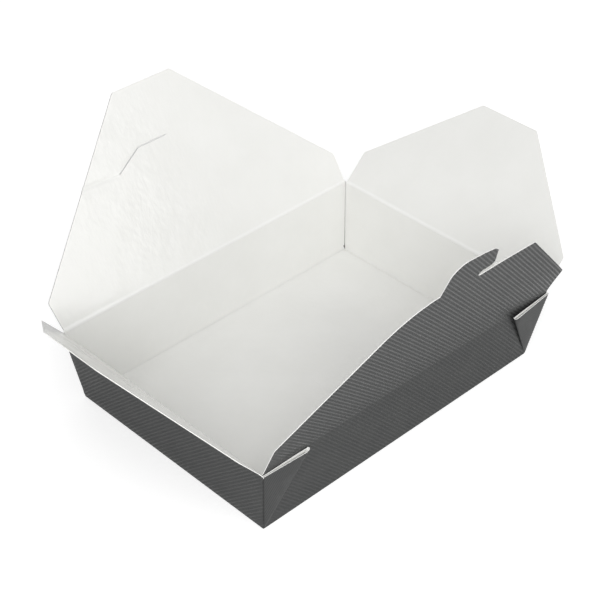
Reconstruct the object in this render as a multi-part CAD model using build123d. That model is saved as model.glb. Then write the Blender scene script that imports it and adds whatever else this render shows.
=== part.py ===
from build123d import *
import os
from math import atan, cos, pi, radians, sin, tan

# Takeaway box folded from one sheet of board: a leak-proof tray with a web in
# each corner, and four lid flaps that turn on the creases round its rim.
# Millimetres. The base stands on z = 0 and the origin is its centre.
# X runs along the long side, Y across the box, Z up.
# The slot flap is on the +Y wall, the tab flap on -Y, the end flaps on -X and +X.

# ---------------------------------------------------------------- the board
board = 0.4             # thickness of the sheet
crease_radius = 0.6     # bend of the sheet's middle at a base crease
corner_radius = 1.0     # rounding that the cutting die leaves on a flap's corners

# ----------------------------------------------------------------- the tray
base_length = 197.0
base_width = 140.0
wall_height = 43.0      # table to the creases of the end flaps
wall_flare = 5.9        # how far each wall leans out over that height
crease_step = 0.5       # each lid layer's crease is this much above the one below
seam = 0.1              # slit between a long wall's end and the end wall

# ------------------------------------------------------- the corner gussets
# The web of each corner is folded in two and laid against the long wall.
inner_puff = 0.3        # air between the wall and the inner layer, at the rim
outer_puff = 0.7        # air between the two layers, at the rim
gusset_drop = 1.2       # the web's cut edge lies this far below the lid crease
fold_width = 0.5        # width of the strip where two layers join at a fold

# ------------------------------------------------------------ the lid flaps
hinge_gap = 0.4         # crease axis to where the flat of a flap begins
side_gap = 1.0          # a flap's end to the end of its crease

end_shoulder = 20.3     # depth of the straight sides, before the taper
end_depth = 75.5
end_free_half = 19.6    # half the width of the free edge

slot_shoulder = 17.5
slot_depth = 101.8
slot_free_half = 19.6

tab_shoulder = 20.5
free_depth = 82.0       # crease to the plain part of the tab flap's free edge
free_right = 46.5       # where that edge meets the right taper

# The hooked locking tab stands out of the free edge, with a notch under its hook.
tab_height = 25.5       # free edge to the top of the tab
tab_side = -22.0        # the tab's straight side, along the crease from its middle
tab_foot = 3.0          # height of the foot of that side over the free edge
tab_back_radius = 9.0
tab_slope = 2.6         # fall of the tab's top edge towards its tip
tab_tip = 11.2          # how far the tip reaches along the crease
tab_tip_fall = 6.3      # the tip's lower corner under the top of the tab
tab_tip_round = 3.2     # length of the rounding at the tip
tab_heel = 14.2         # how far the hook's end reaches along the crease
tab_heel_rise = 1.8     # height of the hook's end over the notch
notch_end = 5.2         # the notch runs back to here
notch_width = 4.2
sweep_across = 32.0     # the curve that leads from the left taper to the tab
sweep_down = 10.5

# The slit takes the tab when the lid is closed. Its long run then lies along the
# tab flap's free edge, and its lead slants back towards the slot flap's crease.
slit_width = 0.5
slit_play = 0.4         # slit to the closed free edge
slit_overlap = 3.8      # the slit stops this much short of the notch's end
slit_run = 20.0
lead_across = 17.2
lead_down = 9.0

# angles above the horizontal, measured outwards, at which the flaps stand
left_end_angle = 50.3
right_end_angle = 44.7
slot_angle = 57.7
tab_angle = 67.3

# ------------------------------------------------------------ worked-out sizes
lean = atan(wall_flare / wall_height)
floor_middle = board / 2
half_length = (base_length - board) / 2
half_width = (base_width - board) / 2
end_crease = wall_height
slot_crease = wall_height + crease_step
tab_crease = wall_height + 2 * crease_step


def crease_reach(half_base, height):
    """How far out from the centre a wall's middle is at a height."""
    return half_base + (height - floor_middle) * tan(lean)


def slant(height):
    """Length up a wall's slope from the base crease to a height."""
    return (height - floor_middle) / cos(lean)


def leaning_sheet(half_base, height, span, sheet_lean):
    """A flat sheet that rises from a long wall's base crease."""
    rise = height - floor_middle
    foot = (half_base, floor_middle)
    top = (half_base + rise * tan(sheet_lean), height)
    return extrude(Plane.YZ * trace(Line(foot, top), board), span, both=True)


def fold_fill(half_base, height, span, lean_a, lean_b):
    """The wedge between two sheets that leave one base crease at two leans."""
    rise = height - floor_middle
    foot = (half_base, floor_middle)
    low = (half_base + rise * tan(lean_a), height)
    high = (half_base + rise * tan(lean_b), height)
    return extrude(Plane.YZ * make_face(Polyline(foot, high, low, close=True)), span, both=True)


def between_walls(plane, half_base, height, offset, span):
    """The space between two facing walls, out to an offset from their middles."""
    bottom = half_base + offset / cos(lean) - floor_middle * tan(lean)
    top = bottom + height * tan(lean)
    corners = [(-bottom, 0), (bottom, 0), (top, height), (-top, height)]
    return extrude(plane * make_face(Polyline(*corners, close=True)), span, both=True)


def joined(first, *others):
    """One solid from pieces whose faces lie in the same planes."""
    return first.solid().fuse(*[piece.solid() for piece in others], tol=board / 1000)


# ------------------------------------------------------------------ the tray
# Widest reach of anything in the tray, used for tools that only have to clear it.
beyond = base_length

layer_one = atan((board + inner_puff) / slant(wall_height))
layer_two = atan((2 * board + inner_puff + outer_puff) / slant(wall_height))


def long_section():
    """Floor and both long walls as one bent strip, seen along the box."""
    points = [
        (-crease_reach(half_width, tab_crease), tab_crease),
        (-half_width, floor_middle),
        (half_width, floor_middle),
        (crease_reach(half_width, slot_crease), slot_crease),
    ]
    strip = trace(FilletPolyline(*points, radius=crease_radius), board)
    for rim in (points[0], points[-1]):
        strip += Pos(*rim) * Circle(board / 2)
    return strip


def end_wall():
    """The +X end wall with the edge of the floor that it bends up from."""
    rim = (crease_reach(half_length, end_crease), end_crease)
    points = [(half_length - 4 * crease_radius, floor_middle), (half_length, floor_middle), rim]
    strip = trace(FilletPolyline(*points, radius=crease_radius), board) + Pos(*rim) * Circle(board / 2)
    wall = extrude(Plane.XZ * strip, beyond, both=True)
    # Its sides reach out over the folded webs, which leave the base corner at a wider lean.
    low = half_width + board / 2
    high = low + (tab_crease + board) * tan(lean + layer_two)
    sides = [(-low, 0), (low, 0), (high, tab_crease + board), (-high, tab_crease + board)]
    return wall & extrude(Plane.YZ * make_face(Polyline(*sides, close=True)), beyond, both=True)


def gusset(crease):
    """The folded web at the +X, +Y corner, under a crease at the given height."""
    top = crease - gusset_drop
    # The web is a right angle less the lean of both walls' side edges, halved by its fold.
    edge_lean = atan(wall_flare / slant(wall_height))
    half_web = (pi / 2 - 2 * edge_lean) / 2
    fold_reach = slant(top) * tan(half_web - edge_lean)

    # In the wall's own plane: x away from the corner along the crease, y up the slope.
    corner = Plane(
        origin=(half_length, half_width, floor_middle),
        x_dir=(-1, 0, 0),
        z_dir=(0, cos(lean), -sin(lean)),
    )
    rim_x = -2 * wall_flare
    web = make_face(Polyline((0, 0), (fold_reach, slant(top)), (rim_x, slant(top)), (rim_x, 0), close=True))
    strip = make_face(Polyline(
        (0, 0), (fold_reach, slant(top)), (fold_reach - fold_width, slant(top)), (-fold_width, 0), close=True,
    ))
    height = top + board
    in_web = extrude(corner * web, 2 * wall_flare, both=True)
    in_fold = extrude(corner * strip, 2 * wall_flare, both=True)

    inside_end = between_walls(Plane.XZ, half_length, tab_crease, -board / 2 - seam, beyond)
    inside_fold = between_walls(Plane.XZ, half_length, tab_crease, -board / 2 - seam - fold_width, beyond)
    middle_end = between_walls(Plane.XZ, half_length, tab_crease, 0, beyond)

    inner = leaning_sheet(half_width, height, beyond, lean + layer_one) & in_web & inside_end
    outer = leaning_sheet(half_width, height, beyond, lean + layer_two) & in_web & middle_end
    corner_fold = (fold_fill(half_width, height, beyond, lean, lean + layer_one) & in_web & inside_end) - inside_fold
    diagonal_fold = (
        fold_fill(half_width, height, beyond, lean + layer_one, lean + layer_two) & in_fold & inside_end
    )
    return joined(inner, outer, corner_fold, diagonal_fold)


def tray():
    between_ends = between_walls(Plane.XZ, half_length, tab_crease + board, -board / 2 - seam, beyond)
    floor_and_sides = extrude(Plane.YZ * long_section(), beyond, both=True) & between_ends
    right = end_wall()
    slot_web = gusset(slot_crease)
    tab_web = gusset(tab_crease)
    half_turn = Rot(0, 0, 180)
    return joined(
        floor_and_sides, right, half_turn * right,
        slot_web, mirror(slot_web, Plane.YZ),
        mirror(tab_web, Plane.XZ), half_turn * tab_web,
    )


# ----------------------------------------------------------------- the flaps
def plain_outline(half_crease, shoulder, depth, free_half):
    """Straight sides up to the shoulder, then a taper to the free edge."""
    half = half_crease - side_gap
    corners = [
        (-half, hinge_gap), (half, hinge_gap), (half, shoulder), (free_half, depth),
        (-free_half, depth), (-half, shoulder),
    ]
    outline = make_face(Polyline(*corners, close=True))
    rounded = [v for v in outline.vertices() if v.Y > hinge_gap + board]
    return fillet(rounded, corner_radius)


def slit(level):
    """The cut that takes the locking tab, at a depth from the slot flap's crease."""
    end = notch_end - slit_overlap
    bend = end - slit_run
    return trace(Polyline((bend - lead_across, level - lead_down), (bend, level), (end, level)), slit_width)


def tab_outline(half_crease):
    """The tab flap: two tapers, and a hooked tab between them, beside a notch."""
    half = half_crease - side_gap
    top = free_depth + tab_height
    heel_level = free_depth + notch_width
    left = (-half, tab_shoulder)
    taper_end = (tab_side - sweep_across, free_depth - sweep_down)
    foot = (tab_side, free_depth + tab_foot)
    back_start = (tab_side, top - tab_back_radius)
    back_end = (tab_side + tab_back_radius, top)
    tip_start = (tab_tip - tab_tip_round, top - tab_slope)
    tip_end = (tab_tip, top - tab_tip_fall)
    heel_end = (tab_heel, heel_level + tab_heel_rise)
    heel_back = (tab_heel - tab_heel_rise, heel_level)
    notch_top = (notch_end + notch_width / 2, heel_level)
    notch_low = (notch_end + notch_width / 2, free_depth)
    free_end = (free_right, free_depth)
    right = (half, tab_shoulder)
    edges = [
        Line((-half, hinge_gap), left),
        Line(left, taper_end),
        TangentArc(taper_end, foot, tangent=Vector(*taper_end) - Vector(*left)),
        Line(foot, back_start),
        TangentArc(back_start, back_end, tangent=(0, 1)),
        Line(back_end, tip_start),
        TangentArc(tip_start, tip_end, tangent=Vector(*tip_start) - Vector(*back_end)),
        Polyline(tip_end, heel_end, heel_back, notch_top),
        TangentArc(notch_top, notch_low, tangent=(-1, 0)),
        Polyline(notch_low, free_end, right, (half, hinge_gap), (-half, hinge_gap)),
    ]
    outline = make_face([edge for piece in edges for edge in piece.edges()])
    cut_corners = [Vector(*left), Vector(*right), Vector(*free_end)]
    rounded = [v for v in outline.vertices() if min((Vector(v) - c).length for c in cut_corners) < board]
    return fillet(rounded, corner_radius)


def flap(outline, reach, crease, outwards, angle):
    """Stand an outline on its crease. x of the outline runs along the crease."""
    rise = radians(angle)
    out_of_crease = Vector(outwards[0] * cos(rise), outwards[1] * cos(rise), sin(rise))
    along = Vector(0, 1, 0) if outwards[0] else Vector(1, 0, 0)
    origin = (outwards[0] * reach, outwards[1] * reach, crease)
    return extrude(Plane(origin, x_dir=along, z_dir=along.cross(out_of_crease)) * outline, board / 2, both=True)


end_reach = crease_reach(half_length, end_crease)
slot_reach = crease_reach(half_width, slot_crease)
tab_reach = crease_reach(half_width, tab_crease)
half_end_crease = crease_reach(half_width, end_crease)
half_long_crease = crease_reach(half_length, end_crease)

end_outline = plain_outline(half_end_crease, end_shoulder, end_depth, end_free_half)
slot_outline = plain_outline(half_long_crease, slot_shoulder, slot_depth, slot_free_half)
slot_outline -= slit(slot_reach + tab_reach - free_depth + slit_play)

nodes = {
    "tray": tray(),
    "left_end_flap": flap(end_outline, end_reach, end_crease, (-1, 0), left_end_angle),
    "right_end_flap": flap(end_outline, end_reach, end_crease, (1, 0), right_end_angle),
    "slot_flap": flap(slot_outline, slot_reach, slot_crease, (0, 1), slot_angle),
    "tab_flap": flap(tab_outline(half_long_crease), tab_reach, tab_crease, (0, -1), tab_angle),
}

os.makedirs("parts", exist_ok=True)
for name, shape in nodes.items():
    export_step(shape, f"parts/{name}.step")
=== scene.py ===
from math import atan, atan2, cos, pi, radians, sin, tan

import bmesh
import bpy
from mathutils import Matrix, Vector


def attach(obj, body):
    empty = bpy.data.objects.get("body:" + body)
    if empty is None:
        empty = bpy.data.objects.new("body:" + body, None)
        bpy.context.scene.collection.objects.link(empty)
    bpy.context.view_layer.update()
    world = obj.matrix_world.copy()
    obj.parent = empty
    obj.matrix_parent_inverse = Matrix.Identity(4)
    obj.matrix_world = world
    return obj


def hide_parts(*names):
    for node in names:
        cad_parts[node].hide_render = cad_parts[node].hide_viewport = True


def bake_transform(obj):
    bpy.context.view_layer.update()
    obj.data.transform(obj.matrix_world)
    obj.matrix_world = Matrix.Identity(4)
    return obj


# Takeaway box folded from one sheet of lined charcoal board, white and coated inside.
# Each sheet is drawn flat, where it lies on the unfolded blank, in millimetres.
# It is given its thickness, then bent up crease by crease, and made metres at the end.
# The blank's inside face looks up (+Z), its printed outside face looks down.

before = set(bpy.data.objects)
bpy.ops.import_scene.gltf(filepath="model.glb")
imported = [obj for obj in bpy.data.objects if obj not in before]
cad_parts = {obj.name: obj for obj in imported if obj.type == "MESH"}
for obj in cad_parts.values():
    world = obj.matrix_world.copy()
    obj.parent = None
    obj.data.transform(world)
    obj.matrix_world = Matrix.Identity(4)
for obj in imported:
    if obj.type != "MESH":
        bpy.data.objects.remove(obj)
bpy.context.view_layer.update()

# ------------------------------------------------------------------ the board
BOARD = 0.4
BASE_BEND = 0.6          # bend of the sheet's middle at a base crease
CUT_ROUND = 1.0          # rounding of a flap's cut corners
EDGE_SOFT = 0.05         # the cut edge's tiny bevel
METRE = 0.001

# ------------------------------------------------------------------- the tray
HALF_LENGTH = 98.3       # to the middle of the sheet, at the base creases
HALF_WIDTH = 69.8
FLOOR_MIDDLE = BOARD / 2
END_CREASE = 43.0
FLARE = 5.9              # how far a wall leans out over the end crease's height
LEAN = atan(FLARE / END_CREASE)
SLOT_CREASE = 43.5
TAB_CREASE = 44.0
SEAM = 0.36              # slit between a long wall's end and the end wall
SPRING_RIM, SPRING_FLAP = 0.8, 1.6       # how far the right-hand front corner stands out
SPLIT_DROP = 1.2         # a flap's sheet takes over from the wall this far below its crease

# ------------------------------------------------------------------ the flaps
SIDE_GAP = 1.0
END_SHOULDER, END_DEPTH, END_FREE_HALF = 20.3, 75.5, 19.6
SLOT_SHOULDER, SLOT_DEPTH, SLOT_FREE_HALF = 17.5, 101.8, 19.6
# The slot flap's left side, moved out and up at its crease, shoulder and free edge.
SLOT_FULLER = [(0.4, 0.0), (2.2, -0.6), (0.6, 0.5)]
TAB_SHOULDER, TAB_DEPTH, TAB_FREE_RIGHT = 20.5, 82.0, 46.5
RIM_BEND = 1.6           # length of sheet that a rim crease bends
SLIT = [(-35.8, 60.95), (-18.6, 69.95), (1.4, 69.95)]    # takes the tab: across, depth
SLIT_WIDTH = 0.4
SLIT_WEAR = 0.09         # how far the slit's lips are rubbed back
SLIVER = 0.004           # edges shorter than this at the slit are closed up
DENT = [(-35.8, 60.95), (-57.5, 62.3)]    # soft kink from the slit's end to the flap's edge

LEFT_ANGLE, RIGHT_ANGLE, SLOT_ANGLE, TAB_ANGLE = 50.3, 44.7, 57.7, 67.3
WALL_ANGLE = 90.0 - LEAN * 180 / pi

INSIDE, OUTSIDE, CUT = 1, 0, 2


def slant(height):
    """Length up a wall from the base crease to a height."""
    return (height - FLOOR_MIDDLE) / cos(LEAN)


def reach(half_base, height):
    """How far out from the centre a wall's middle is at a height."""
    return half_base + (height - FLOOR_MIDDLE) * tan(LEAN)


def ease(t):
    t = min(1.0, max(0.0, t))
    return t * t * (3 - 2 * t)


# ------------------------------------------------------- drawing a flat sheet
def draw_outline(bm, path):
    """Edges along a path. A step is a point, or a point and "arc" for a curve that
    leaves the step before it in the direction the outline had there."""
    first = last = bm.verts.new((*path[0], 0))
    heading = None
    for step in path[1:]:
        end = Vector((step[0], step[1], 0))
        if len(step) == 2:
            heading = (end - last.co).normalized()
            corner = bm.verts.new(end)
            bm.edges.new((last, corner))
            last = corner
            continue
        # The arc's centre lies square to the heading, as far from its start as from its end.
        square = Vector((-heading.y, heading.x, 0))
        chord = end - last.co
        radius = chord.length_squared / (2 * chord.dot(square))
        centre = last.co + square * radius
        turn = 2 * heading.angle(chord) * (1 if radius > 0 else -1)
        spun = bmesh.ops.spin(
            bm, geom=[last], cent=centre, axis=(0, 0, 1), angle=turn, steps=step[3], use_merge=False,
        )
        last = next(g for g in spun["geom_last"] if isinstance(g, bmesh.types.BMVert))
        heading = Matrix.Rotation(turn, 3, "Z") @ heading
    bm.edges.new((last, first))


def flat_sheet(path, rounded=()):
    """A filled outline in the blank's plane, with some of its corners rounded."""
    bm = bmesh.new()
    draw_outline(bm, path)
    corners = [v for v in bm.verts if any((v.co.xy - Vector(c[:2])).length < 0.01 for c in rounded)]
    if corners:
        bmesh.ops.bevel(
            bm, geom=corners, offset=CUT_ROUND, offset_type="OFFSET", affect="VERTICES",
            segments=5, profile=0.5, material=-1, clamp_overlap=True,
        )
    bmesh.ops.remove_doubles(bm, verts=bm.verts[:], dist=1e-4)
    bmesh.ops.contextual_create(bm, geom=bm.edges[:])
    return bm


def score(bm, point, direction):
    """Cuts every face along the line through a point, square to a direction."""
    bmesh.ops.bisect_plane(
        bm, geom=bm.verts[:] + bm.edges[:] + bm.faces[:], dist=1e-4,
        plane_co=(*point, 0), plane_no=(*direction, 0),
    )


def score_grid(bm, spacing):
    """Even cuts both ways, so that the sheet can bow."""
    low = [min(v.co[i] for v in bm.verts) for i in (0, 1)]
    high = [max(v.co[i] for v in bm.verts) for i in (0, 1)]
    for i, direction in ((0, (1, 0)), (1, (0, 1))):
        count = max(1, round((high[i] - low[i]) / spacing))
        for k in range(1, count):
            at = low[i] + (high[i] - low[i]) * k / count
            score(bm, (at, at), direction)


def slit_open(bm, path, width):
    """A cut along a path of points that opens a little between its two ends."""
    path = [Vector((*p, 0)) for p in path]
    for a, b in zip(path, path[1:]):
        run = (b - a).normalized()
        score(bm, a.xy, (-run.y, run.x))
    score(bm, path[0].xy, (path[1] - path[0]).xy)
    score(bm, path[-1].xy, (path[-1] - path[-2]).xy)

    def leg(v):
        for a, b in zip(path, path[1:]):
            run = b - a
            share = (v.co - a).dot(run) / run.length_squared
            if -1e-4 < share < 1 + 1e-4 and (a + run * share - v.co).length < 1e-3:
                return run.normalized()
        return None

    cut = [e for e in bm.edges if leg(e.verts[0]) and leg(e.verts[1])]
    bmesh.ops.split_edges(bm, edges=cut)
    for v in bm.verts:
        run = leg(v)
        if run and len(v.link_edges) and min((v.co - path[0]).length, (v.co - path[-1]).length) > 1e-3:
            square = Vector((-run.y, run.x, 0))
            middle = sum((f.calc_center_median() for f in v.link_faces), Vector()) / len(v.link_faces)
            v.co += square * (width / 2 if (middle - v.co).dot(square) > 0 else -width / 2)


def thicken(bm, joined=lambda flat: False):
    """Gives the flat sheet its board thickness about its middle, softens the cut edge,
    and sorts faces into printed outside, coated inside and raw cut edge.
    Where the sheet carries on in another piece, its edge stays square and is no cut."""
    bmesh.ops.solidify(bm, geom=bm.faces[:], thickness=BOARD)
    middle = (min(v.co.z for v in bm.verts) + max(v.co.z for v in bm.verts)) / 2
    bmesh.ops.translate(bm, vec=(0, 0, -middle), verts=bm.verts[:])
    bmesh.ops.recalc_face_normals(bm, faces=bm.faces[:])
    brim = [e for e in bm.edges if len(e.link_faces) == 2 and e.calc_face_angle() > 1.2
            and abs(e.verts[0].co.z - e.verts[1].co.z) < 0.01
            and not all(joined(v.co) for v in e.verts)]
    bmesh.ops.bevel(
        bm, geom=brim, offset=EDGE_SOFT, offset_type="OFFSET", affect="EDGES",
        segments=1, profile=0.5, material=-1, clamp_overlap=True,
    )
    flat = bm.verts.layers.float_vector.new("blank")
    for v in bm.verts:
        v[flat] = v.co
    for f in bm.faces:
        f.normal_update()
        f.material_index = INSIDE if f.normal.z > 0.9 else OUTSIDE if f.normal.z < -0.9 else CUT
        if f.material_index == CUT and all(joined(v.co) for v in f.verts):
            f.material_index = OUTSIDE
        f.smooth = True


# -------------------------------------------------------------- bending it up
def bend_rows(length, rows, start):
    return [start + length * (k + 0.5) / rows for k in range(rows)]


def score_rows(bm, point, heading, offsets):
    for offset in offsets:
        score(bm, (point[0] + heading[0] * offset, point[1] + heading[1] * offset), heading)


def bend(bm, point, heading, degrees, offsets, among=lambda flat: True):
    """Turns the sheet up by an angle at a crease, a little at each scored row.
    The heading points from the part that stays to the part that turns."""
    flat = bm.verts.layers.float_vector["blank"]
    heading = Vector((*heading, 0)).normalized()
    point = Vector((*point, 0))
    axis = heading.cross(Vector((0, 0, 1)))
    share = radians(degrees) / len(offsets)
    for offset in sorted(offsets, reverse=True):
        beyond, on_row = [], []
        for v in bm.verts:
            if among(v[flat]):
                past = (v[flat] - point).dot(heading) - offset
                if past > 0.004:
                    beyond.append(v)
                elif past > -0.004:
                    on_row.append(v)
        row = point + heading * offset
        for verts, angle in ((beyond, share), (on_row, share / 2)):
            bmesh.ops.rotate(bm, cent=row, matrix=Matrix.Rotation(angle, 3, axis), verts=verts)


def finish_piece(bm, name, materials):
    """The bent sheet as an object in metres, with its place on the blank as its UV map."""
    flat = bm.verts.layers.float_vector["blank"]
    blank_uv = bm.loops.layers.uv.new("blank")
    for f in bm.faces:
        for loop in f.loops:
            loop[blank_uv].uv = loop.vert[flat].xy * METRE
    for e in bm.edges:
        e.smooth = len(e.link_faces) == 2 and e.calc_face_angle(0) < radians(35)
    bmesh.ops.scale(bm, vec=(METRE, METRE, METRE), verts=bm.verts[:])
    mesh = bpy.data.meshes.new(name)
    bm.to_mesh(mesh)
    bm.free()
    for material in materials:
        mesh.materials.append(material)
    piece = bpy.data.objects.new(name, mesh)
    bpy.context.scene.collection.objects.link(piece)
    return piece


# ------------------------------------------------------------------ materials
def make_group(name, inputs, outputs):
    group = bpy.data.node_groups.new(name, "ShaderNodeTree")
    for label, kind, value in inputs:
        socket = group.interface.new_socket(name=label, in_out="INPUT", socket_type=kind)
        if value is not None:
            socket.default_value = value
    for label, kind in outputs:
        group.interface.new_socket(name=label, in_out="OUTPUT", socket_type=kind)
    return group, group.nodes.new("NodeGroupInput"), group.nodes.new("NodeGroupOutput")


def math_node(tree, operation, a, b=None, clamp=False):
    node = tree.nodes.new("ShaderNodeMath")
    node.operation = operation
    node.use_clamp = clamp
    for socket, value in zip(node.inputs, (a, b)):
        if isinstance(value, (int, float)):
            socket.default_value = value
        elif value is not None:
            tree.links.new(value, socket)
    return node.outputs[0]


def noise_node(tree, place, scale, detail=3.0, rough=0.5, stretch=None):
    """Noise over a place on the board, in millimetres of feature size."""
    if stretch:
        mapping = tree.nodes.new("ShaderNodeMapping")
        mapping.inputs["Scale"].default_value = stretch
        tree.links.new(place, mapping.inputs["Vector"])
        place = mapping.outputs["Vector"]
    node = tree.nodes.new("ShaderNodeTexNoise")
    node.inputs["Scale"].default_value = 1.0 / (scale * METRE)
    node.inputs["Detail"].default_value = detail
    node.inputs["Roughness"].default_value = rough
    tree.links.new(place, node.inputs["Vector"])
    return node.outputs["Fac"]


def ramp_node(tree, value, low, high, to_low=0.0, to_high=1.0):
    node = tree.nodes.new("ShaderNodeMapRange")
    node.interpolation_type = "SMOOTHSTEP"
    for label, number in (("From Min", low), ("From Max", high), ("To Min", to_low), ("To Max", to_high)):
        node.inputs[label].default_value = number
    tree.links.new(value, node.inputs["Value"])
    return node.outputs["Result"]


def mix_color(tree, factor, a, b):
    node = tree.nodes.new("ShaderNodeMix")
    node.data_type = "RGBA"
    for socket, value in ((node.inputs[0], factor), (node.inputs[6], a), (node.inputs[7], b)):
        if isinstance(value, (int, float)):
            socket.default_value = value
        elif isinstance(value, tuple):
            socket.default_value = (*value, 1)
        else:
            tree.links.new(value, socket)
    return node.outputs[2]


def bump_node(tree, height, distance, strength=1.0, normal=None):
    node = tree.nodes.new("ShaderNodeBump")
    node.inputs["Strength"].default_value = strength
    node.inputs["Distance"].default_value = distance
    tree.links.new(height, node.inputs["Height"])
    if normal is not None:
        tree.links.new(normal, node.inputs["Normal"])
    return node.outputs["Normal"]


def fibre_group():
    """Felted fibres and cloudiness of the board, as it lies on the blank."""
    group, given, made = make_group(
        "board_fibre",
        [("Place", "NodeSocketVector", None), ("Cloud size", "NodeSocketFloat", 1.0)],
        [("Cloud", "NodeSocketFloat"), ("Fibre", "NodeSocketFloat")],
    )
    place = given.outputs["Place"]
    scaled = group.nodes.new("ShaderNodeVectorMath")
    scaled.operation = "DIVIDE"
    group.links.new(place, scaled.inputs[0])
    group.links.new(given.outputs["Cloud size"], scaled.inputs[1])
    cloud = noise_node(group, scaled.outputs[0], 14.0, 4.0, 0.55)
    along = noise_node(group, place, 0.9, 4.0, 0.6, (0.22, 1.0, 1.0))
    across = noise_node(group, place, 0.9, 4.0, 0.6, (1.0, 0.3, 1.0))
    group.links.new(cloud, made.inputs["Cloud"])
    group.links.new(math_node(group, "MAXIMUM", along, across), made.inputs["Fibre"])
    return group


def line_group():
    """Fine even diagonal lines that run unbroken over the whole blank."""
    group, given, made = make_group(
        "diagonal_lines",
        [("Place", "NodeSocketVector", None), ("Pitch", "NodeSocketFloat", 0.00187)],
        [("Lines", "NodeSocketFloat")],
    )
    parts = group.nodes.new("ShaderNodeSeparateXYZ")
    group.links.new(given.outputs["Place"], parts.inputs[0])
    along_x = math_node(group, "MULTIPLY", parts.outputs["X"], 2 * pi * sin(radians(46.9)))
    along_y = math_node(group, "MULTIPLY", parts.outputs["Y"], 2 * pi * cos(radians(46.9)))
    phase = math_node(group, "DIVIDE", math_node(group, "SUBTRACT", along_x, along_y), given.outputs["Pitch"])
    wave = math_node(group, "MULTIPLY_ADD", math_node(group, "COSINE", phase), 0.5)
    wave.node.inputs[2].default_value = 0.5
    # The varnish of a line is thinner in places.
    thin = ramp_node(group, noise_node(group, given.outputs["Place"], 2.5, 3.0, 0.6), 0.3, 0.7, 0.6, 1.0)
    narrow = math_node(group, "POWER", wave, 2.6)
    group.links.new(math_node(group, "MULTIPLY", narrow, thin), made.inputs["Lines"])
    return group


def crease_group():
    """How near a place on the blank is to a crease: along the rim, the base or a web's folds."""
    group, given, made = make_group(
        "board_creases",
        [("Place", "NodeSocketVector", None), ("Width", "NodeSocketFloat", 0.001)],
        [(label, "NodeSocketFloat") for label in ("Rim", "Base", "Fold", "Corner")],
    )
    parts = group.nodes.new("ShaderNodeSeparateXYZ")
    group.links.new(given.outputs["Place"], parts.inputs[0])
    x, y = (math_node(group, "ABSOLUTE", parts.outputs[axis]) for axis in "XY")
    front = math_node(group, "LESS_THAN", parts.outputs["Y"], 0.0)

    def near(distance):
        share = math_node(group, "DIVIDE", math_node(group, "ABSOLUTE", distance), given.outputs["Width"])
        return ramp_node(group, share, 0.0, 1.0, 1.0, 0.0)

    def off(value, line):
        return math_node(group, "SUBTRACT", value, line * METRE)

    def both(a, b):
        return math_node(group, "MULTIPLY", a, b)

    def within(value, line):
        return math_node(group, "LESS_THAN", value, line * METRE)

    # The two long rims are not equally high.
    rim_y = math_node(group, "MULTIPLY_ADD", front, (slant(TAB_CREASE) - slant(SLOT_CREASE)) * METRE)
    rim_y.node.inputs[2].default_value = (HALF_WIDTH + slant(SLOT_CREASE)) * METRE
    rim = math_node(
        group, "MAXIMUM",
        both(near(off(x, HALF_LENGTH + slant(END_CREASE))), within(y, HALF_WIDTH + 6)),
        both(near(math_node(group, "SUBTRACT", y, rim_y)), within(x, HALF_LENGTH + 6)),
    )
    base = math_node(
        group, "MAXIMUM",
        both(near(off(x, HALF_LENGTH)), within(y, HALF_WIDTH)),
        both(near(off(y, HALF_WIDTH)), within(x, HALF_LENGTH)),
    )
    in_web = both(
        math_node(group, "GREATER_THAN", x, HALF_LENGTH * METRE),
        math_node(group, "GREATER_THAN", y, HALF_WIDTH * METRE),
    )
    lines = []
    for heading, aside in ((FOLD_HEADING, -0.45), (SIDE_HEADING, 0.0)):
        across = math_node(group, "MULTIPLY", off(x, HALF_LENGTH), -sin(heading))
        along = math_node(group, "MULTIPLY", off(y, HALF_WIDTH), cos(heading))
        lines.append(off(math_node(group, "ADD", across, along), aside))
    # A lighter fold line, partly rubbed ink and partly painted highlight where the fold catches light, is
    # drawn on the left-hand webs only; the right-hand folds lie in shade.
    left = math_node(group, "LESS_THAN", parts.outputs["X"], 0.0)
    fold = both(both(near(lines[0]), in_web), left)
    side = both(near(lines[1]), in_web)
    for label, value in (("Rim", rim), ("Base", base), ("Fold", fold), ("Corner", side)):
        group.links.new(value, made.inputs[label])
    return group


# The webs' headings on the blank, from the base corner, off the end wall's own slope.
WEB_GAP = 1.2            # the outer web layer stands this far off the wall's middle, at the rim
WEB_LEAN = LEAN + atan(WEB_GAP / slant(END_CREASE))
WEB_EDGE = atan(tan(LEAN) * cos(WEB_LEAN))       # side crease, off the web's own slope
WEB_HALF = (pi / 2 - 2 * atan(FLARE / slant(END_CREASE))) / 2
SIDE_HEADING = atan(tan(WEB_LEAN) * cos(LEAN))   # side crease, off the end wall's slope
FOLD_HEADING = SIDE_HEADING + WEB_HALF
INNER_HEADING = FOLD_HEADING + WEB_HALF

FIBRE = fibre_group()
LINES = line_group()
CREASES = crease_group()


def new_material(name, rough, specular):
    material = bpy.data.materials.new(name)
    material.use_nodes = True
    tree = material.node_tree
    shader = tree.nodes["Principled BSDF"]
    shader.inputs["Roughness"].default_value = rough
    shader.inputs["Specular IOR Level"].default_value = specular
    return material, tree, shader


def place_group(tree, group, **values):
    node = tree.nodes.new("ShaderNodeGroup")
    node.node_tree = group
    for label, value in values.items():
        socket = node.inputs[label.replace("_", " ")]
        if isinstance(value, float):
            socket.default_value = value
        else:
            tree.links.new(value, socket)
    return node.outputs


def blank_place(tree):
    node = tree.nodes.new("ShaderNodeUVMap")
    node.uv_map = "blank"
    return node.outputs["UV"]


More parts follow.
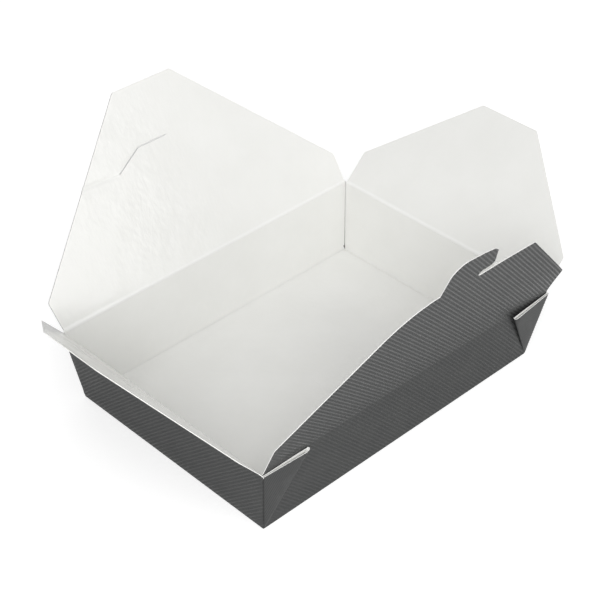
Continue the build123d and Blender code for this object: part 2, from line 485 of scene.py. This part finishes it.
def charcoal_print():
    """Matt charcoal ink over the board, ruled with darker lines under a gloss varnish."""
    material, tree, shader = new_material("charcoal_print", 0.58, 0.3)
    place = blank_place(tree)
    fibre = place_group(tree, FIBRE, Place=place, Cloud_size=1.0)
    lines = place_group(tree, LINES, Place=place, Pitch=0.00187)["Lines"]
    cloud = ramp_node(tree, fibre["Cloud"], 0.3, 0.7)
    ink = mix_color(tree, cloud, (0.045, 0.047, 0.047), (0.054, 0.056, 0.055))
    ink = mix_color(tree, ramp_node(tree, fibre["Fibre"], 0.45, 0.75, 0.0, 0.3), ink, (0.068, 0.070, 0.069))
    ink = mix_color(tree, lines, ink, (0.012, 0.012, 0.012))
    # Ink is rubbed thin along the rim, and over a web's folded edge a lighter line is partly rubbed ink and
    # partly a painted highlight. A web's side crease is darkened with painted shade.
    folds = place_group(tree, CREASES, Place=place, Width=0.0006)
    rub_and_highlight = math_node(
        tree, "ADD",
        math_node(tree, "MULTIPLY", folds["Fold"], 0.6), math_node(tree, "MULTIPLY", folds["Rim"], 0.12),
    )
    rub_and_highlight_mask = math_node(tree, "MULTIPLY", rub_and_highlight, ramp_node(tree, fibre["Fibre"], 0.35, 0.6, 0.3, 1.0))
    # Partly wear, partly painted highlight: the fold and rim lines are lightened.
    ink = mix_color(tree, rub_and_highlight_mask, ink, (0.17, 0.17, 0.165))
    # Painted shade: a web's side crease is darkened.
    ink = mix_color(tree, math_node(tree, "MULTIPLY", folds["Corner"], 0.85), ink, (0.012, 0.012, 0.012))
    tree.links.new(ink, shader.inputs["Base Color"])
    tree.links.new(ramp_node(tree, fibre["Fibre"], 0.3, 0.8, 0.52, 0.66), shader.inputs["Roughness"])
    tree.links.new(math_node(tree, "MULTIPLY", lines, 0.95), shader.inputs["Coat Weight"])
    shader.inputs["Coat Roughness"].default_value = 0.26
    shader.inputs["Coat IOR"].default_value = 1.5
    height = math_node(
        tree, "ADD",
        math_node(tree, "MULTIPLY", lines, 0.01), math_node(tree, "MULTIPLY", fibre["Fibre"], 0.03),
    )
    tree.links.new(bump_node(tree, height, METRE, 0.6), shader.inputs["Normal"])
    return material


def white_coating():
    """White board under a thin poured plastic film, which ripples like orange peel."""
    material, tree, shader = new_material("white_coating", 0.2, 0.5)
    place = blank_place(tree)
    fibre = place_group(tree, FIBRE, Place=place, Cloud_size=2.2)
    cloud = ramp_node(tree, fibre["Cloud"], 0.3, 0.7)
    white = mix_color(tree, cloud, (0.842, 0.842, 0.818), (0.862, 0.862, 0.84))
    folds = place_group(tree, CREASES, Place=place, Width=0.002)
    # Painted highlight: the rim creases are whitened where their bead catches the light.
    white = mix_color(tree, math_node(tree, "MULTIPLY", folds["Rim"], 0.7), white, (0.93, 0.93, 0.92))
    # Painted shade: the base creases are darkened.
    white = mix_color(tree, math_node(tree, "MULTIPLY", folds["Base"], 0.25), white, (0.76, 0.755, 0.73))
    tree.links.new(white, shader.inputs["Base Color"])
    tree.links.new(ramp_node(tree, fibre["Cloud"], 0.25, 0.75, 0.08, 0.13), shader.inputs["Roughness"])
    # The film ripples along the run of the board, with a longer swell below.
    peel = noise_node(tree, place, 3.2, 2.5, 0.5, (1.7, 0.8, 1.0))
    swell = noise_node(tree, place, 12.0, 2.0, 0.5)
    normal = bump_node(tree, peel, 0.055 * METRE)
    normal = bump_node(tree, swell, 0.24 * METRE, 1.0, normal)
    bead = math_node(tree, "ADD", folds["Rim"], math_node(tree, "MULTIPLY", folds["Base"], -0.5))
    normal = bump_node(tree, bead, 0.2 * METRE, 1.0, normal)
    tree.links.new(bump_node(tree, fibre["Fibre"], 0.008 * METRE, 1.0, normal), shader.inputs["Normal"])
    return material


def raw_edge():
    """The cut edge: bare white board, layered along its length."""
    material, tree, shader = new_material("raw_edge", 0.85, 0.2)
    place = blank_place(tree)
    fibre = place_group(tree, FIBRE, Place=place, Cloud_size=0.3)
    grain = ramp_node(tree, fibre["Fibre"], 0.4, 0.75)
    white = mix_color(tree, grain, (0.93, 0.925, 0.91), (0.86, 0.85, 0.83))
    tree.links.new(white, shader.inputs["Base Color"])
    tree.links.new(bump_node(tree, fibre["Fibre"], 0.05 * METRE), shader.inputs["Normal"])
    return material


def studio_paint():
    material, tree, shader = new_material("studio_floor_paint", 0.9, 0.1)
    shader.inputs["Base Color"].default_value = (0.8, 0.8, 0.8, 1)
    shader.inputs["Emission Color"].default_value = (1, 1, 1, 1)
    # Seen directly it is white paper; it throws less light than that on the box.
    seen = tree.nodes.new("ShaderNodeLightPath").outputs["Is Camera Ray"]
    tree.links.new(ramp_node(tree, seen, 0.0, 1.0, 0.1, 0.5), shader.inputs["Emission Strength"])
    return material


MATERIALS = [charcoal_print(), white_coating(), raw_edge()]

# ------------------------------------------------------------------- the tray
TURN = radians(WALL_ANGLE)
BASE_TANGENT = BASE_BEND * tan(TURN / 2)
BASE_ARC = BASE_BEND * TURN
TAKE_UP = 2 * BASE_TANGENT - BASE_ARC       # length that the rounded bend saves
BASE_ROWS = bend_rows(BASE_ARC, 5, -BASE_TANGENT)


def long_strip():
    """The floor and both long walls, one strip of board."""
    wall_end = (BOARD / 2 + SEAM) / cos(LEAN)
    floor_end = HALF_LENGTH - BASE_TANGENT
    tops = {-1: slant(TAB_CREASE) - SPLIT_DROP, 1: slant(SLOT_CREASE) - SPLIT_DROP}
    path = []
    for along, across in ((1, -1), (1, 1), (-1, 1), (-1, -1)):
        top = tops[across]
        corner = [
            (along * (HALF_LENGTH - wall_end + top * sin(LEAN)), across * (HALF_WIDTH + top - TAKE_UP)),
            (along * (HALF_LENGTH - wall_end), across * HALF_WIDTH),
            (along * floor_end, across * (HALF_WIDTH - BASE_TANGENT)),
        ]
        path += corner if along * across < 0 else reversed(corner)
    bm = flat_sheet(path)
    for across in (-1, 1):
        score_rows(bm, (0, across * HALF_WIDTH), (0, across), BASE_ROWS)
    score_grid(bm, 7.0)

    def joined(flat):
        top = HALF_WIDTH - TAKE_UP + tops[1 if flat.y > 0 else -1]
        return abs(flat.y) > top - 0.01 or abs(flat.x) > floor_end - 0.01

    thicken(bm, joined)
    for across in (-1, 1):
        bend(bm, (0, across * HALF_WIDTH), (0, across), WALL_ANGLE, BASE_ROWS)
    bmesh.ops.translate(bm, vec=(0, 0, FLOOR_MIDDLE), verts=bm.verts[:])
    return bm


WEB_TRIM = 1.1           # the outer layer is cut this much lower beside the fold
WEB_TURN = 88.6          # from the end wall round to the plane of a web that lies flat
FOLD_BEND = 0.35
FOLD_ARC = pi * FOLD_BEND
FOLD_ROWS = bend_rows(FOLD_ARC, 7, -FOLD_ARC / 2)
SIDE_ROWS = bend_rows(0.7, 5, -0.35)


def end_sheet(webs):
    """The +X end wall with the whole web at each side, as it lies on the blank.
    Each web has how far its layers part at the rim, by the corner and at the fold, and the
    angle it lifts off the wall."""
    corner = {1: Vector((HALF_LENGTH, HALF_WIDTH)), -1: Vector((HALF_LENGTH, -HALF_WIDTH))}
    crease = {1: SLOT_CREASE, -1: TAB_CREASE}

    def ray(side, heading, length):
        return tuple(corner[side] + Vector((cos(heading), side * sin(heading))) * length)

    path = []
    for side in (-1, 1):
        web_slope = (crease[side] - SPLIT_DROP - FLOOR_MIDDLE) / cos(WEB_LEAN) - TAKE_UP
        wall_top = (slant(END_CREASE) - SPLIT_DROP - TAKE_UP) / cos(SIDE_HEADING)
        part = [
            (HALF_LENGTH - BASE_TANGENT, side * HALF_WIDTH),
            ray(side, SIDE_HEADING, 0.8),
            ray(side, INNER_HEADING, 0.8),
            ray(side, INNER_HEADING, web_slope / cos(WEB_EDGE)),
            ray(side, FOLD_HEADING, web_slope / cos(WEB_HALF - WEB_EDGE)),
            ray(side, FOLD_HEADING - 0.03, (web_slope - WEB_TRIM) / cos(WEB_HALF - WEB_EDGE - 0.03)),
            ray(side, SIDE_HEADING, web_slope / cos(WEB_EDGE)),
            ray(side, SIDE_HEADING, wall_top),
        ]
        path += part if side < 0 else reversed(part)
    bm = flat_sheet(path)
    score_rows(bm, (HALF_LENGTH, 0), (1, 0), BASE_ROWS)
    for side in (-1, 1):
        for heading, rows in ((FOLD_HEADING, FOLD_ROWS), (SIDE_HEADING, SIDE_ROWS)):
            score_rows(bm, corner[side], (-sin(heading), side * cos(heading)), rows)
    score_grid(bm, 7.0)

    def joined(flat):
        side = 1 if flat.y > 0 else -1
        out = flat.xy - corner[side]
        off_inner = out.dot(Vector((-sin(INNER_HEADING), side * cos(INNER_HEADING))))
        if out.length < 6 or flat.x < HALF_LENGTH - BASE_TANGENT + 0.01 or abs(off_inner) < 0.02:
            return True
        top = HALF_LENGTH + slant(END_CREASE) - SPLIT_DROP - TAKE_UP
        return abs(flat.y) < HALF_WIDTH + 7.6 and flat.x > top - 0.01

    thicken(bm, joined)
    for f in bm.faces:
        middle = f.calc_center_median().xy
        side = 1 if middle.y > 0 else -1
        if abs(middle.y) > HALF_WIDTH and min((v.co.xy - corner[side]).length for v in f.verts) < 3:
            f.material_index = OUTSIDE
    for side in (-1, 1):
        by_corner, by_fold, lift = webs[side]

        def in_web(flat, side=side):
            out = flat.xy - corner[side]
            past = out.dot(Vector((-sin(SIDE_HEADING), side * cos(SIDE_HEADING))))
            return past > -0.36 and out.x > -0.36
        square = Vector((-sin(FOLD_HEADING), side * cos(FOLD_HEADING)))
        bend(bm, corner[side], square, 180, FOLD_ROWS, in_web)
        # Press the layers: they part in proportion to their distance from the base corner.
        flat = bm.verts.layers.float_vector["blank"]
        inner_slope = Vector((cos(INNER_HEADING + WEB_EDGE), side * sin(INNER_HEADING + WEB_EDGE)))
        fold_line = Vector((cos(FOLD_HEADING), side * sin(FOLD_HEADING)))
        fold_slope = fold_line * cos(WEB_HALF - WEB_EDGE)
        for v in bm.verts:
            if in_web(v[flat]):
                out = v[flat].xy - corner[side]
                turned = min(1.0, max(0.0, (out.dot(square) + FOLD_ARC / 2) / FOLD_ARC))
                slope = max(0.0, out.dot(inner_slope) if turned == 1.0 else out.dot(fold_slope))
                spread = 1.0
                if out.length > 0.5:
                    spread = atan2(abs(out.cross(fold_line)), out.dot(fold_line)) / WEB_HALF
                part = by_fold + (by_corner - by_fold) * ease(spread)
                v.co.z += turned * (max(part * slope / slant(END_CREASE), 0.15) - 2 * FOLD_BEND)
        heading = SIDE_HEADING
        bend(bm, corner[side], (-sin(heading), side * cos(heading)), WEB_TURN - lift, SIDE_ROWS, in_web)
    bend(bm, (HALF_LENGTH, 0), (1, 0), WALL_ANGLE, BASE_ROWS)
    bmesh.ops.translate(bm, vec=(0, 0, FLOOR_MIDDLE), verts=bm.verts[:])
    return bm


def spring(bm):
    """The right-hand front corner is sprung: the rim stands out a little, the flap more."""
    for v in bm.verts:
        x, y, z = v.co
        share = ease((x - 15) / 90) * ease((-y - 35) / 35)
        up_wall = min(1.0, max(0.0, z / TAB_CREASE))
        v.co.y -= share * (SPRING_RIM * up_wall + SPRING_FLAP * ease((z - TAB_CREASE) / 30))


bm = long_strip()
spring(bm)
strip = finish_piece(bm, "floor_and_long_walls", MATERIALS)
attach(strip, "tray")
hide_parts("tray")
for name, mirrored, webs in (
    ("right_end_wall", False, {-1: (0.75, 1.35, 4.6), 1: (0.75, 1.3, 2.2)}),
    ("left_end_wall", True, {-1: (0.75, 1.6, 1.4), 1: (0.75, 1.3, 1.4)}),
):
    bm = end_sheet(webs)
    if mirrored:
        flat = bm.verts.layers.float_vector["blank"]
        bmesh.ops.scale(bm, vec=(-1, 1, 1), verts=bm.verts[:])
        bmesh.ops.reverse_faces(bm, faces=bm.faces[:])
        for v in bm.verts:
            v[flat].x = -v[flat].x
    spring(bm)
    wall = finish_piece(bm, name, MATERIALS)
    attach(wall, "tray")
    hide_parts("tray")


# ------------------------------------------------------------------ the flaps
def side_sheet(outline, rounded, half_base, crease, angle, outwards, wall_half, slit=None):
    """A flap drawn from its crease (across, depth), with the wall's last strip below it,
    laid on the blank on one side, bent at the rim and stood up on the base crease."""
    drop = SPLIT_DROP
    wall = [(wall_half, -0.1), (wall_half - drop * sin(LEAN), -drop),
            (-wall_half + drop * sin(LEAN), -drop), (-wall_half, -0.1)]
    bm = flat_sheet(outline + wall, rounded)
    rows = bend_rows(RIM_BEND, 6, -RIM_BEND / 2)
    score_rows(bm, (0, 0), (0, 1), rows)
    score_grid(bm, 7.0)
    if slit:
        start, end = (Vector(p) for p in DENT)
        run = (end - start).normalized()
        for offset in (-2.0, -1.2, -0.5, 0.0, 0.5, 1.2, 2.0):
            score(bm, start + Vector((-run.y, run.x)) * offset, (-run.y, run.x))
        slit_open(bm, slit, SLIT_WIDTH)
    # Lay it on the blank: depth runs outwards, from the base crease.
    rim = Vector(outwards) * (half_base + slant(crease))
    along = Vector((abs(outwards[1]), abs(outwards[0])))
    for v in bm.verts:
        v.co.xy = rim + Vector(outwards) * v.co.y + along * v.co.x
    split = (half_base + slant(crease) - drop) + 0.01
    thicken(bm, lambda flat: flat.xy.dot(Vector(outwards)) < split)
    if slit:
        # The slit closes to a point at its ends, which leaves slivers there.
        bmesh.ops.dissolve_degenerate(bm, dist=SLIVER, edges=bm.edges[:])
        bmesh.ops.delete(bm, geom=[v for v in bm.verts if not v.link_faces], context="VERTS")
        mark_slit(bm, rim)
    bend(bm, rim, outwards, angle - WALL_ANGLE, rows)
    base = Vector((outwards[0] * half_base, outwards[1] * half_base, 0))
    axis = Vector((*outwards, 0)).cross(Vector((0, 0, 1)))
    bmesh.ops.rotate(bm, cent=base, matrix=Matrix.Rotation(TURN, 3, axis), verts=bm.verts[:])
    bmesh.ops.translate(bm, vec=(0, 0, FLOOR_MIDDLE), verts=bm.verts[:])
    return bm


def mark_slit(bm, rim):
    """The slit's cut faces take the dark print as painted shade, and the cut edge from the flap's left end to
    its free edge takes the dark print too. Beside the slit the flap is kinked to its edge."""
    flat = bm.verts.layers.float_vector["blank"]
    low, high = SLIT[0], SLIT[-1]
    lips = {}
    for f in bm.faces:
        if f.material_index != CUT:
            continue
        place = sum((v[flat].xy for v in f.verts), Vector((0, 0))) / len(f.verts) - rim
        if low[0] - 1 < place.x < high[0] + 1 and low[1] - 1 < place.y < high[1] + 1:
            # Painted shade: the slit's cut faces take the dark print.
            f.material_index = OUTSIDE
            for v in f.verts:
                if v.co.z > BOARD / 2 - 0.01:
                    lips[v] = lips.get(v, Vector((0, 0))) + f.normal.xy
        elif place.x < SLOT_FREE_HALF and place.y > 1:
            f.material_index = OUTSIDE
    for v, open_side in lips.items():
        v.co.xy -= open_side.normalized() * SLIT_WEAR
    start, end = (Vector(p) for p in DENT)
    run = (end - start).normalized()
    for v in bm.verts:
        place = v[flat].xy - rim - start
        along, aside = place.dot(run), place.cross(run)
        v.co.z -= 0.45 * ease(along / 3) * ease((34 - along) / 6) * (1 - ease(abs(aside) / 2.0))


def mount_flap(bm, body):
    """The finished flap, already bent at its crease, as a piece in its world place, with its CAD part hidden.
    """
    piece = finish_piece(bm, body + "_board", MATERIALS)
    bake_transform(piece)
    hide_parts(body)
    return piece


def plain_outline(half_crease, shoulder, depth, free_half):
    half = half_crease - SIDE_GAP
    corners = [
        (-half, 0.35), (-half, shoulder), (-free_half, depth),
        (free_half, depth), (half, shoulder), (half, 0.35),
    ]
    return corners, corners[1:5]


def slot_outline(half_crease):
    """The slot flap is cut a little fuller on its left side."""
    corners, _ = plain_outline(half_crease, SLOT_SHOULDER, SLOT_DEPTH, SLOT_FREE_HALF)
    for i, (across, up) in enumerate(SLOT_FULLER):
        corners[i] = (corners[i][0] - across, corners[i][1] + up)
    return corners, corners[1:5]


def tab_outline(half_crease):
    """Seen from outside with the flap up: two tapers, and a hooked tab beside a notch."""
    half = half_crease - SIDE_GAP
    top = TAB_DEPTH + 25.5
    heel = TAB_DEPTH + 4.2
    path = [
        (-half, 0.35), (-half, TAB_SHOULDER), (-54.0, 71.5), (-22.0, TAB_DEPTH + 3.0, "arc", 10),
        (-22.0, top - 9.0), (-13.0, top - 0.6, "arc", 8), (-1.5, top - 2.2), (6.8, top - 4.2),
        (10.8, top - 7.6), (14.6, heel + 2.0), (13.0, heel), (7.3, heel), (7.3, TAB_DEPTH, "arc", 8),
        (TAB_FREE_RIGHT, TAB_DEPTH), (half, TAB_SHOULDER), (half, 0.35),
    ]
    return path, [path[1], path[7], path[8], path[9], path[10], path[-3], path[-2]]


half_end_crease = reach(HALF_WIDTH, END_CREASE)
half_long_crease = reach(HALF_LENGTH, END_CREASE)
end_wall_half = HALF_WIDTH + (END_CREASE - FLOOR_MIDDLE) * tan(WEB_LEAN) + BOARD / 2
long_wall_half = half_long_crease - (BOARD / 2 + SEAM) / cos(LEAN)

for body, angle, outwards in (
    ("left_end_flap", LEFT_ANGLE, (-1, 0)),
    ("right_end_flap", RIGHT_ANGLE, (1, 0)),
):
    bm = side_sheet(
        *plain_outline(half_end_crease, END_SHOULDER, END_DEPTH, END_FREE_HALF),
        HALF_LENGTH, END_CREASE, angle, outwards, end_wall_half,
    )
    mount_flap(bm, body)

for body, outline, crease, angle, outwards in (
    ("slot_flap", slot_outline(half_long_crease), SLOT_CREASE, SLOT_ANGLE, (0, 1)),
    ("tab_flap", tab_outline(half_long_crease), TAB_CREASE, TAB_ANGLE, (0, -1)),
):
    slit = SLIT if body == "slot_flap" else None
    bm = side_sheet(*outline, HALF_WIDTH, crease, angle, outwards, long_wall_half, slit)
    if body == "tab_flap":
        spring(bm)
    mount_flap(bm, body)

# -------------------------------------------------------------- studio, camera
bm = bmesh.new()
bmesh.ops.create_grid(bm, x_segments=1, y_segments=1, size=4.0)
floor_mesh = bpy.data.meshes.new("studio_floor")
bm.to_mesh(floor_mesh)
bm.free()
floor = bpy.data.objects.new("studio_floor", floor_mesh)
floor_mesh.materials.append(studio_paint())
bpy.context.scene.collection.objects.link(floor)

world = bpy.data.worlds.new("studio")
bpy.context.scene.world = world
world.use_nodes = True
world.node_tree.nodes["Background"].inputs["Color"].default_value = (1, 1, 1, 1)
world.node_tree.nodes["Background"].inputs["Strength"].default_value = 0.5


def soft_light(name, place, aim, size, watts):
    light = bpy.data.lights.new(name, "AREA")
    light.shape = "RECTANGLE"
    light.size, light.size_y = size
    light.energy = watts
    lamp = bpy.data.objects.new(name, light)
    lamp.location = place
    lamp.rotation_euler = (Vector(place) - Vector(aim)).to_track_quat("Z", "Y").to_euler()
    bpy.context.scene.collection.objects.link(lamp)


soft_light("key_softbox", (-1.3, -1.26, 1.3), (0, 0, 0.04), (0.9, 0.9), 18.5)
soft_light("front_softbox", (0.414, -1.793, 0.8), (0, 0, 0.04), (1.35, 0.95), 6.2)
soft_light("overhead_softbox", (-0.75, -1.2, 2.1), (0, 0, 0.04), (1.3, 1.3), 8.5)
soft_light("side_softbox", (-1.85, -0.45, 0.8), (0, 0, 0.04), (0.9, 0.9), 2.6)

camera_data = bpy.data.cameras.new("camera")
camera_data.sensor_width = 36.0
camera_data.lens = 101.196
camera_data.clip_start = 0.01
camera = bpy.data.objects.new("camera", camera_data)
azimuth, elevation, roll = radians(-43.87), radians(36.89), radians(0.16)
back = Vector((sin(azimuth) * cos(elevation), -cos(azimuth) * cos(elevation), sin(elevation)))
right = Vector((0, 0, 1)).cross(back).normalized()
up = back.cross(right)
right, up = right * cos(roll) - up * sin(roll), right * sin(roll) + up * cos(roll)
camera.matrix_world = Matrix((
    (right.x, up.x, back.x, -0.49465),
    (right.y, up.y, back.y, -0.50821),
    (right.z, up.z, back.z, 0.58312),
    (0, 0, 0, 1),
))
bpy.context.scene.collection.objects.link(camera)
bpy.context.scene.camera = camera
bpy.context.scene.view_settings.view_transform = "Standard"
